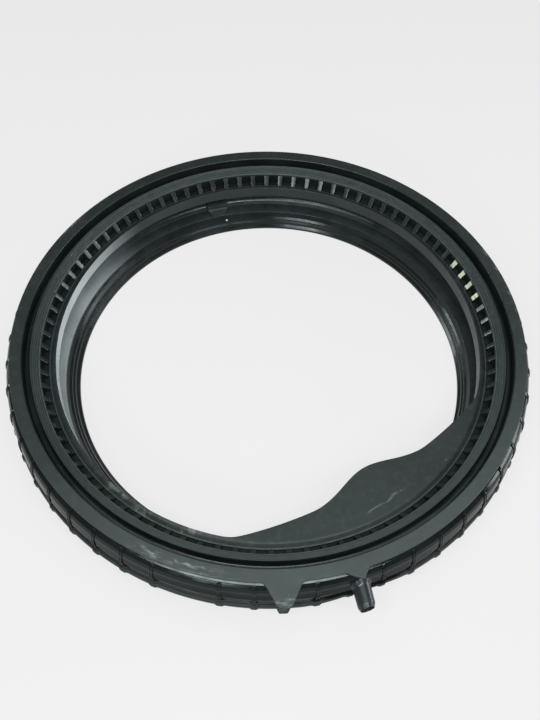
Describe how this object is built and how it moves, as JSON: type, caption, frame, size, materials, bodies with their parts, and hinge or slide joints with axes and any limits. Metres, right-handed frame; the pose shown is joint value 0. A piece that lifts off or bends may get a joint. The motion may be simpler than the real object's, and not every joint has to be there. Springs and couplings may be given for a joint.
{
  "type": "washing machine door seal",
  "caption": "Round rubber bellows seal for a front-loading washer door, with a clamp groove, a pocketed lip, a shelf flap, a tab and a drain nozzle.",
  "frame": {"origin": "under the middle of the outer box, on the plane that the drum side lies on", "axes": "+Z along the ring's axis, from the drum side up to the door side; -Y the way the drain nozzle points; +X to the right seen from the nozzle side"},
  "size_m": [0.4313, 0.4467, 0.06],
  "materials": {
    "door_seal": "matt on the flange, the lip and the shelf, glossy on the outer roll"
  },
  "bodies": {
    "root": {"door_seal": "door_seal"}
  },
  "joints": []
}
